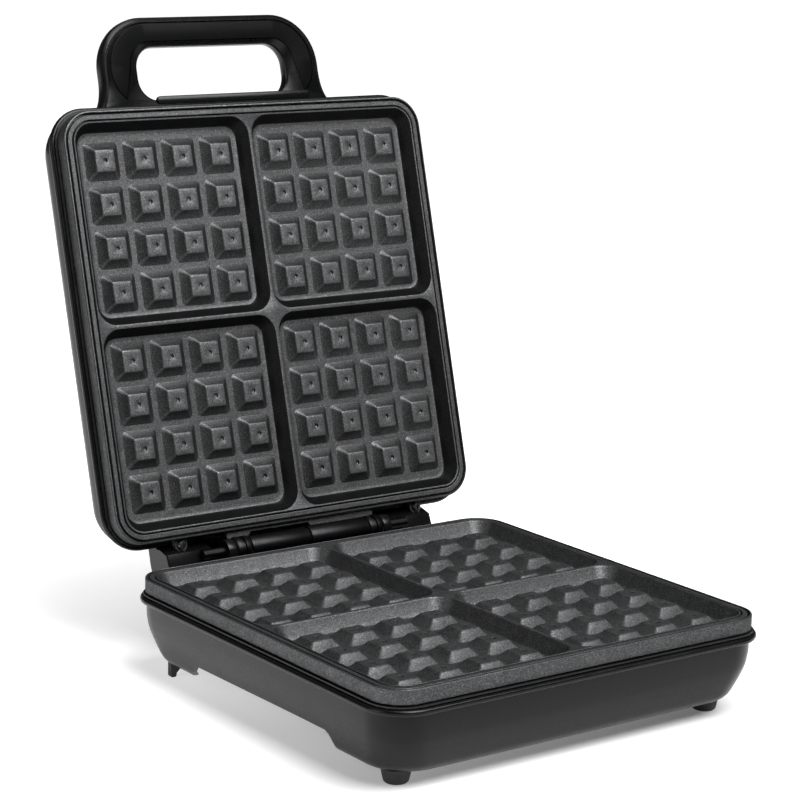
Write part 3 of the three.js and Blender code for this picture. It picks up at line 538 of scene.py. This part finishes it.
def add_ears(mesh):
    """Two round screw ears beyond the hinge edge of the upper plate."""
    bottom = EAR_FACE - EAR_THICKNESS
    levels = [(0.3, bottom), (0, bottom + 0.3), (0, EAR_FACE - 0.3), (0.3, EAR_FACE)]
    for side in (-1, 1):
        middle = side * EAR_X - EAR_SHIFT
        outline = []
        for step in range(17):
            turn = math.pi * step / 16
            outline.append((middle + EAR_RADIUS * math.cos(turn), EAR_Y + EAR_RADIUS * math.sin(turn)))
        outline += [(middle - EAR_RADIUS, PLATE_HALF - 1), (middle + EAR_RADIUS, PLATE_HALF - 1)]
        centre = Vector((middle, EAR_Y - 1))
        rings = []
        for inset, z in levels:
            scale = 1 - inset / EAR_RADIUS
            rings.append([Vector((*(centre + (Vector(p) - centre) * scale), z)) for p in outline])
        skin(mesh, rings, cap_start=True, cap_end=True)


def add_flange(mesh):
    """The long flange on the hinge edge of the upper plate, notched back over one sleeve."""
    end, root, edge = 48.1, PLATE_HALF - 2, PLATE_HALF + 4.3
    notch_start, notch_end, notch_edge = -5, 33, PLATE_HALF + 2.3
    outline = [
        (-end, root), (end, root), (end, edge), (notch_end + 1, edge),
        (notch_end, notch_edge), (notch_start, notch_edge), (notch_start - 1, edge),
        (-end, edge),
    ]
    outline = rounded_corners(outline, 0.8, 3)
    levels = [(-3.0, 0.25), (-2.7, 0), (-0.8, 0), (-0.5, 0.25)]
    rings = [[Vector((p[0], p[1] - inset, z)) for p in outline] for z, inset in levels]
    skin(mesh, rings, cap_start=True, cap_end=True)


def build_plates():
    lower, upper = plate_mesh(), plate_mesh()
    add_ears(upper)
    add_flange(upper)
    slot = "nonstick_plate"
    finish_piece("lower_plate_fine", lower, BASE_FRAME, "base", slot, "lower_plate", SHARP_PLATE)
    lid_plate = finish_piece(
        "upper_plate_fine", upper, LID_FRAME, "lid", slot, "upper_plate", SHARP_PLATE
    )
    # The upper plate wears the copy of the coat with the stronger painted shade.
    lid_plate.data.materials[0] = LID_COAT_PAINTED_SHADE


# ---- Casings ------------------------------------------------------------------------------
CASING_CORNER = 21.6
# (inset from the bead, level, corner radius) down the outside of the wall.
CASING_POINTS = [
    (2.5, -10.4, CASING_CORNER),
    (2.5, -14, CASING_CORNER),
    (2.7, -18, CASING_CORNER),
    (3.4, -23, CASING_CORNER),
    (4.8, -28, CASING_CORNER),
    (6.5, -33, CASING_CORNER),
    (8.1, -37.2, CASING_CORNER),
    (9.6, -39.4, 21.4),
    (11.1, -40.6, 21.0),
    (12.3, -CASING_DEPTH, 20.6),
]
CASING_WALL = 2.4
ARCH_FRONT, ARCH_REAR, ARCH_RISE = -60.2, 58, 9.9
# (y, rise) along the lower edge of the side walls.
ARCH_EDGE = [
    (ARCH_FRONT - 3.2, 0),
    (ARCH_FRONT, ARCH_RISE - 1),
    (ARCH_FRONT + 1, ARCH_RISE),
    (ARCH_REAR, ARCH_RISE - 1),
    (ARCH_REAR + 10.4, 0),
]
# Every ring has these points along its straight sides, closed up where a side is shorter
# than STOPS_REACH either way from its middle.
SIDE_STOPS = sorted([*range(-80, 81, 8), *(y for y, _ in ARCH_EDGE)])
STOPS_REACH = 84
# Only points further out than this, on the left and right walls, are lifted into the arches.
SIDE_WALLS_FROM = 90
# The level below the plate where the lid's side walls start to lean in, and how much.
LID_LEAN_START, LID_LEAN = 19, 0.29


def smooth_through(points, per_span):
    """A Catmull-Rom curve through the given points."""
    padded = [points[0], *points, points[-1]]
    curve = []
    for a, b, c, d in zip(padded, padded[1:], padded[2:], padded[3:]):
        for step in range(per_span):
            t = step / per_span
            curve.append(tuple(
                0.5 * (2 * q + (r - p) * t + (2 * p - 5 * q + 4 * r - s) * t * t
                       + (3 * q - p - 3 * r + s) * t ** 3)
                for p, q, r, s in zip(a, b, c, d)
            ))
    return [*curve, points[-1]]


def bead_points():
    """The rolled bead from the casing's top lip over to the neck below it."""
    middle, radius, depth = -8.05, 1.65, 1.4
    points = [(10.5, -6.4, 12), (2.0, -6.4, 19.6)]
    for step in range(9):
        turn = math.pi / 2 - math.pi * step / 8
        inset = depth - depth * math.cos(turn)
        points.append((inset, middle + radius * math.sin(turn), CASING_CORNER - inset))
    points.append((2.2, -10.1, 21.5))
    return points


def arch_level(y):
    """How high the lower edge stands along the sides of the base."""
    for (start, low), (end, high) in zip(ARCH_EDGE, ARCH_EDGE[1:]):
        if start <= y <= end:
            return low + (high - low) * (y - start) / (end - start)
    return 0.0


def casing_ring(inset, z, radius):
    half = BEAD_HALF - inset
    squeeze = min(1, (half - radius) / STOPS_REACH)
    return rounded_ring(half, half, radius, z, 12, [stop * squeeze for stop in SIDE_STOPS])


def lifted(ring, wall):
    """Raises the lower edge of the side walls into the arches, following the wall inwards."""
    moved = []
    for point in ring:
        rise = arch_level(point.y)
        edge = -CASING_DEPTH + rise
        if abs(point.x) < SIDE_WALLS_FROM or rise == 0 or point.z >= edge:
            moved.append(point)
            continue
        inset = next((i for i, z, _ in wall if z <= edge), wall[-1][0])
        moved.append(Vector((math.copysign(BEAD_HALF - inset, point.x), point.y, edge)))
    return moved


def leaned_sides(ring):
    """The lid's two side walls lean inwards more than the base's."""
    lean = max(0, -ring[0].z - LID_LEAN_START) * LID_LEAN
    half = max(point.x for point in ring)
    return [Vector((point.x * (1 - lean / half), point.y, point.z)) for point in ring]


def lid_casing_mesh():
    """The lid's bead and leaning walls, closed by a low crown."""
    mesh = bmesh.new()
    profile = bead_points() + smooth_through(CASING_POINTS, 3)
    crown = [(16.5, 0.4, 19), (25, 0.8, 18), (38, 1.2, 16)]
    profile += [(inset, -CASING_DEPTH - rise, radius) for inset, rise, radius in crown]
    skin(mesh, [leaned_sides(casing_ring(*point)) for point in profile], cap_end=True)
    return mesh


def base_casing_mesh():
    """The open tray: its outside, its arched lower edge and its inner face."""
    mesh = bmesh.new()
    wall = smooth_through(CASING_POINTS, 5)
    inner_wall = [(inset + CASING_WALL, z, radius - CASING_WALL) for inset, z, radius in wall]
    outside = [casing_ring(*point) for point in bead_points() + wall]
    inside = [casing_ring(*point) for point in inner_wall[::-5]]
    rings = [lifted(ring, wall) for ring in outside] + [lifted(ring, inner_wall) for ring in inside]
    skin(mesh, rings)
    bmesh.ops.remove_doubles(mesh, verts=mesh.verts, dist=0.01)
    return mesh


def add_lugs(mesh):
    """The two upright hinge lugs behind the base."""
    radius, near, far = 6.4, 48.5, 53.5
    outline = [(BEAD_HALF - 4, -22), (HINGE_Y - 1, -14.5), (HINGE_Y + 5, -12)]
    outline.append((HINGE_Y + radius, HINGE_Z - 3))
    for step in range(17):
        turn = math.pi * step / 16
        outline.append((HINGE_Y + radius * math.cos(turn), HINGE_Z + radius * math.sin(turn)))
    outline += [(HINGE_Y - radius, -7), (BEAD_HALF - 4, -9)]
    for side in (-1, 1):
        prism_along_x(mesh, outline, *sorted((side * near, side * far)), 0.4)


def build_casings():
    base = base_casing_mesh()
    add_lugs(base)
    finish_piece("base_casing", base, BASE_FRAME, "base", "satin_casing", "base_shell")
    finish_piece("lid_casing", lid_casing_mesh(), LID_FRAME, "lid", "satin_casing", "lid_shell")


# ---- Handle -------------------------------------------------------------------------------
HANDLE_FACE = -24.5
HANDLE_BACK = HANDLE_FACE - 8.5
HANDLE_HALF, HANDLE_REACH, HANDLE_CORNER = 71.3, 170.9, 29.0
OPENING_HALF, OPENING_FOOT, OPENING_FAR, OPENING_RADIUS = 48.2, 124.5, 154.1, 12.0


def arc(centre_x, centre_s, radius, start, end, steps):
    """Points along a circular arc, as (x, reach) pairs."""
    return [
        (centre_x + radius * math.cos(start + (end - start) * i / steps),
         centre_s + radius * math.sin(start + (end - start) * i / steps))
        for i in range(steps + 1)
    ]


def curve(start, pull, end, steps):
    """A quadratic curve between two (x, reach) points, without its first point."""
    points = []
    for step in range(1, steps + 1):
        t = step / steps
        weights = ((1 - t) ** 2, 2 * t * (1 - t), t * t)
        points.append(tuple(sum(w * p[k] for w, p in zip(weights, (start, pull, end))) for k in (0, 1)))
    return points


def both_sides(right):
    """The right half of an outline and its mirror image, in order."""
    return right + [(-x, s) for x, s in reversed(right)]


def handle_outline(grow):
    """The outside of the handle, feet flared where they meet the lid; (x, reach) pairs."""
    half, top, corner = HANDLE_HALF + grow, HANDLE_REACH + grow, HANDLE_CORNER + grow
    flare = 6
    right = [(half + flare, BEAD_HALF - 8), (half + flare, BEAD_HALF)]
    right += curve(right[-1], (half, OPENING_FOOT), (half, OPENING_FOOT + 13), 8)
    right += arc(half - corner, top - corner, corner, 0, math.pi / 2, 14)
    return both_sides(right)


def opening_outline(grow):
    """The long rounded opening between the handle's legs."""
    half, foot = OPENING_HALF + grow, OPENING_FOOT - grow
    far, radius = OPENING_FAR + grow, OPENING_RADIUS + grow
    points = arc(half - radius, far - radius, radius, 0, math.pi / 2, 10)
    points += arc(-half + radius, far - radius, radius, math.pi / 2, math.pi, 10)
    points += arc(-half + radius, foot + radius, radius, math.pi, 1.5 * math.pi, 10)
    points += arc(half - radius, foot + radius, radius, 1.5 * math.pi, 2 * math.pi, 10)
    return points


def panel_outline(margin):
    """The arch-shaped panel in the handle's face, its legs running out to points."""
    outer, inner = HANDLE_HALF - 5.5 - margin, OPENING_HALF + 5.5 + margin
    top, inner_top = HANDLE_REACH - 3.8 - margin, OPENING_FAR + 3 + margin
    corner, inner_corner = HANDLE_CORNER - 4 - margin, 14
    tip = (58.3, OPENING_FOOT + 1.3 + 2 * margin)
    right = [tip] + curve(tip, (outer, tip[1] + 6), (outer, top - corner), 10)
    right += arc(outer - corner, top - corner, corner, 0, math.pi / 2, 12)[1:]
    under = arc(-inner + inner_corner, inner_top - inner_corner, inner_corner, math.pi, math.pi / 2, 10)
    under += arc(inner - inner_corner, inner_top - inner_corner, inner_corner, math.pi / 2, 0, 10)
    return both_sides(right) + under


def at_level(outline, n):
    """Places (x, reach) pairs in the lid's local frame at one height."""
    return [Vector((x, -s, n)) for x, s in outline]


def handle_mesh():
    """The loop: slopes run down from the panel's edge to a fine ridge and the rounded sides."""
    mesh = bmesh.new()
    face, back = HANDLE_FACE, HANDLE_BACK
    sides = [
        (-3.3, face - 1.25),
        (-3.0, face - 0.95),
        (-2.6, face - 0.95),
        (-2.3, face - 1.35),
        (-1.1, face - 1.9),
        (-0.35, face - 2.5),
        (0, face - 3.3),
        (0, back + 2.2),
        (-0.35, back + 0.9),
        (-1.1, back + 0.25),
        (-2.2, back),
    ]
    outer = skin(mesh, [at_level(handle_outline(grow), n) for grow, n in sides])
    inner_sides = [
        (1.6, face - 1.5),
        (0.7, face - 2.1),
        (0.15, face - 2.9),
        (0, face - 3.8),
        (0, back + 2.2),
        (0.5, back + 0.8),
        (1.6, back),
    ]
    inner = skin(mesh, [at_level(opening_outline(grow), n) for grow, n in inner_sides])
    pocket = skin(mesh, [
        at_level(panel_outline(-0.35), face),
        at_level(panel_outline(-0.3), face - 0.2),
        at_level(panel_outline(-0.3), face - 2.3),
    ])
    fill_between(mesh, [pocket[-1]])
    fill_between(mesh, [outer[0], inner[0], pocket[0]])
    fill_between(mesh, [outer[-1], inner[-1]])
    return mesh


def panel_mesh():
    """The inset panel, a little below the handle's face."""
    mesh = bmesh.new()
    face = HANDLE_FACE
    levels = [(0.0, face - 2.0), (0.0, face - 0.5), (0.12, face - 0.22), (0.45, face - 0.1)]
    rings = skin(mesh, [at_level(panel_outline(margin), n) for margin, n in levels])
    fill_between(mesh, [rings[0]])
    fill_between(mesh, [rings[-1]])
    return mesh


def lip_mesh():
    """The rounded bar between the feet of the handle."""
    mesh = bmesh.new()
    half, middle, radius = 50, BEAD_HALF + 2.5, 2.2
    rings = []
    for inset, n in [(0.6, -9.2), (0.15, -8.95), (0, -8.5), (0, -7.3), (0.15, -6.85), (0.6, -6.6)]:
        r = radius - inset
        outline = arc(half - radius, middle, r, -math.pi / 2, math.pi / 2, 10)
        outline += arc(-half + radius, middle, r, math.pi / 2, 1.5 * math.pi, 10)
        rings.append(at_level(outline, n))
    skin(mesh, rings, cap_start=True, cap_end=True)
    return mesh


def build_handle():
    for name, mesh, slot, replaced, sharp in (
        ("handle_body", handle_mesh(), "satin_casing", "handle_loop", SHARP_HANDLE),
        ("handle_inset", panel_mesh(), "handle_panel", "handle_panel", SHARP_HANDLE),
        ("handle_lip", lip_mesh(), "satin_casing", "lid_front_lip", SHARP_CASING),
    ):
        finish_piece(name, mesh, LID_FRAME, "lid", slot, replaced, sharp)


# ---- Hinge --------------------------------------------------------------------------------
BORE_RADIUS = 3.2


def hinge_body(name, replaced, profile):
    """A steel body turned about the hinge axis; the profile is (radius, x) pairs."""
    mesh = bmesh.new()
    turned(mesh, profile, (0, HINGE_Y, HINGE_Z), (1, 0, 0), 48)
    finish_piece(name, mesh, BASE_FRAME, "base", "hinge_steel", replaced)


def build_hinge():
    for word, side, radius in (("left", -1, 6.3), ("right", 1, 6.7)):
        near, far = side * 0.15, side * 38.2
        hinge_body(f"sleeve_{word}", f"hinge_sleeve_{word}", [
            (BORE_RADIUS, near),
            (radius - 0.5, near),
            (radius - 0.12, near + side * 0.15),
            (radius, near + side * 0.5),
            (radius, far - side * 0.5),
            (radius - 0.12, far - side * 0.15),
            (radius - 0.5, far),
            (BORE_RADIUS, far),
            (BORE_RADIUS, near),
        ])
        start, end = side * 38.5, side * 48.2
        groove = side * 43.2
        hinge_body(f"collar_{word}", f"hinge_collar_{word}", [
            (BORE_RADIUS, start),
            (6.0, start),
            (6.75, start + side * 0.7),
            (6.9, start + side * 1.2),
            (6.9, groove - side * 0.9),
            (6.0, groove - side * 0.5),
            (6.0, groove + side * 0.5),
            (6.9, groove + side * 0.9),
            (6.9, end - side * 1.0),
            (6.6, end - side * 0.4),
            (6.1, end),
            (BORE_RADIUS, end),
            (BORE_RADIUS, start),
        ])


ARM_RADIUS = 22
ARM_INNER, ARM_OUTER = 58.6, 87.0
ARM_FOOT, ARM_TOP = math.radians(15.6), math.radians(95.6)
SHUT_FRAME = Matrix.Translation((0, 0, LID_LEVEL)) @ Matrix.Rotation(math.pi, 4, "Y")


def hinge_arc(radius, start, end, steps):
    """Points round the hinge axis, as (y, z) pairs of the shut position."""
    turns = (start + (end - start) * i / steps for i in range(steps + 1))
    return [(HINGE_Y + radius * math.cos(turn), HINGE_Z + radius * math.sin(turn)) for turn in turns]


def arm_outline():
    """The lid arm's side view in the shut position, cut to stand clear of the lid's casing."""
    foot = [(HINGE_Y - 6.4, HINGE_Z + 9.4), (HINGE_Y - 2.8, HINGE_Z + 3.0), (HINGE_Y + 5.1, HINGE_Z + 1.7)]
    neck = BEAD_HALF - 2.2
    root = [(neck, HINGE_Z + ARM_RADIUS), (neck, LID_LEVEL + 10.4), (BEAD_HALF + 0.3, LID_LEVEL + 9.9)]
    return foot + hinge_arc(ARM_RADIUS, ARM_FOOT, ARM_TOP, 20) + root


def cover_outline():
    """The curved strip behind the hinge, from the lid's wall round to the arms' lower end."""
    inside, neck = ARM_RADIUS - 2.2, BEAD_HALF - 2.2
    outer = hinge_arc(ARM_RADIUS, ARM_FOOT, math.pi / 2, 20) + [(neck, HINGE_Z + ARM_RADIUS)]
    return outer + [(neck, HINGE_Z + inside)] + hinge_arc(inside, math.pi / 2, ARM_FOOT, 20)


def build_lid_hinge_side():
    place = LID_FRAME @ SHUT_FRAME.inverted()
    for word, side in (("left", -1), ("right", 1)):
        mesh = bmesh.new()
        prism_along_x(mesh, arm_outline(), *sorted((side * ARM_INNER, side * ARM_OUTER)), 0.8)
        finish_piece(f"arm_{word}", mesh, place, "lid", "satin_casing", f"lid_arm_{word}")
    mesh = bmesh.new()
    prism_along_x(mesh, cover_outline(), -ARM_INNER + 0.3, ARM_INNER - 0.3, 0.15)
    finish_piece("cover_behind_hinge", mesh, place, "lid", "satin_casing", "hinge_cover")


# ---- Feet ---------------------------------------------------------------------------------
FOOT_X, FOOT_Y = 96.4, -93.7


def build_feet():
    top = -CASING_DEPTH - 0.3
    for word, side in (("left", -1), ("right", 1)):
        mesh = bmesh.new()
        profile = [
            (0.01, FLOOR_LEVEL),
            (4.4, FLOOR_LEVEL),
            (5.4, FLOOR_LEVEL + 0.25),
            (6.0, FLOOR_LEVEL + 0.8),
            (6.5, FLOOR_LEVEL + 2.4),
            (7.5, top - 0.9),
            (7.7, top - 0.3),
            (7.5, top),
            (0.01, top),
        ]
        turned(mesh, profile, (side * FOOT_X, FOOT_Y, 0), (0, 0, 1), 40)
        finish_piece(f"foot_{word}", mesh, BASE_FRAME, "base", "foot_rubber", f"front_foot_{word}")


# ---- Stage --------------------------------------------------------------------------------
CAMERA_AZIMUTH = math.radians(-36.11)
CAMERA_ELEVATION = math.radians(12.09)
CAMERA_ROLL = math.radians(1.185)
CAMERA_DISTANCE = 1.3015
CAMERA_SIDE, CAMERA_RISE = -0.02228, 0.10199
CAMERA_LENS = 114.43


def build_camera():
    """A long lens in front of the machine's left corner, slightly above it."""
    right = Vector((math.cos(CAMERA_AZIMUTH), math.sin(CAMERA_AZIMUTH), 0))
    level_back = right.cross(Vector((0, 0, 1)))
    back = level_back * math.cos(CAMERA_ELEVATION) + Vector((0, 0, math.sin(CAMERA_ELEVATION)))
    up = back.cross(right)
    rolled_right = right * math.cos(CAMERA_ROLL) + up * math.sin(CAMERA_ROLL)
    rolled_up = up * math.cos(CAMERA_ROLL) - right * math.sin(CAMERA_ROLL)
    target = Vector((0, PLATE_CENTRE_Y, TOPS_LEVEL))
    place = target + rolled_right * CAMERA_SIDE + rolled_up * CAMERA_RISE + back * CAMERA_DISTANCE
    data = bpy.data.cameras.new("camera")
    data.lens = CAMERA_LENS
    data.sensor_width = 36
    camera = bpy.data.objects.new("camera", data)
    turn = Matrix((rolled_right, rolled_up, back)).transposed().to_4x4()
    camera.matrix_world = Matrix.Translation(place) @ turn
    bpy.context.scene.collection.objects.link(camera)
    bpy.context.scene.camera = camera


def area_light(name, place, aim, width, height, power):
    """A rectangular softbox turned towards a point, in metres and watts."""
    data = bpy.data.lights.new(name, "AREA")
    data.shape = "RECTANGLE"
    data.size = width
    data.size_y = height
    data.energy = power
    light = bpy.data.objects.new(name, data)
    light.location = place
    light.rotation_euler = (Vector(aim) - Vector(place)).to_track_quat("-Z", "Y").to_euler()
    bpy.context.scene.collection.objects.link(light)


def build_floor():
    """White paper with a glow of its own that grows away from the machine and behind it."""
    mesh = bpy.data.meshes.new("floor")
    reach = 6
    corners = [(-reach, -reach, 0), (reach, -reach, 0), (reach, reach, 0), (-reach, reach, 0)]
    mesh.from_pydata(corners, [], [(0, 1, 2, 3)])
    floor = bpy.data.objects.new("floor", mesh)
    look = Surface("floor_paper", (0.68, 0.68, 0.68), specular=0.1)
    look.shader.inputs["Roughness"].default_value = 0.8
    look.tint(look.ramp(look.noise(3, 2), 0.3, 0.7, 0, 0.3), (0.66, 0.66, 0.66))
    away = look.ramp(look.measure("Object", "LENGTH"), 0.12, 0.3, 0.6, 1.0)
    behind = look.measure("Object", "DOT_PRODUCT", (-0.3, 0.95, 0))
    glow = look.combine("MULTIPLY", away, look.ramp(behind, -0.2, 0.05, 0.1, 1.0))
    look.tree.links.new(glow, look.shader.inputs["Emission Strength"])
    look.shader.inputs["Emission Color"].default_value = (1, 1, 1, 1)
    mesh.materials.append(look.done())
    bpy.context.scene.collection.objects.link(floor)


WORLD_DIM, WORLD_BACKDROP = 0.02, 1.4


def build_world():
    """A dim studio that is bright only behind the machine, like a lit paper backdrop."""
    world = bpy.data.worlds.new("studio")
    world.use_nodes = True
    tree = world.node_tree
    direction = tree.nodes.new("ShaderNodeTexCoord")
    facing = tree.nodes.new("ShaderNodeVectorMath")
    facing.operation = "DOT_PRODUCT"
    facing.inputs[1].default_value = (-math.sin(CAMERA_AZIMUTH), math.cos(CAMERA_AZIMUTH), -0.1)
    tree.links.new(direction.outputs["Generated"], facing.inputs[0])
    level = tree.nodes.new("ShaderNodeMapRange")
    level.inputs["From Min"].default_value = 0.0
    level.inputs["From Max"].default_value = 0.6
    level.inputs["To Min"].default_value = WORLD_DIM
    level.inputs["To Max"].default_value = WORLD_BACKDROP
    tree.links.new(facing.outputs["Value"], level.inputs["Value"])
    tree.links.new(level.outputs["Result"], tree.nodes["Background"].inputs["Strength"])
    bpy.context.scene.world = world


def build_stage():
    build_floor()
    build_world()
    middle = (0, 0, 0.12)
    area_light("softbox_left", (-1.7, 0.1, 0.7), middle, 0.9, 1.2, 7)
    area_light("softbox_front", (0.35, -1.3, 1.75), middle, 1.6, 1.2, 68)
    area_light("softbox_high", (0.1, -0.7, 2.3), middle, 1.4, 1.0, 30)
    area_light("softbox_top", (0.2, 0.4, 1.9), middle, 1.2, 1.0, 3)
    bpy.context.scene.view_settings.view_transform = "Standard"


def dress_cad_nodes():
    """Gives every carried-over CAD node the look of its material slot."""
    slots = {part["node"]: part["material_slot"] for part in frame["record"]["subparts"]}
    for name, node in frame["nodes"].items():
        node.data.materials.clear()
        node.data.materials.append(LOOKS[slots[name]])


dress_cad_nodes()
build_plates()
build_casings()
build_handle()
build_hinge()
build_lid_hinge_side()
build_feet()
build_camera()
build_stage()
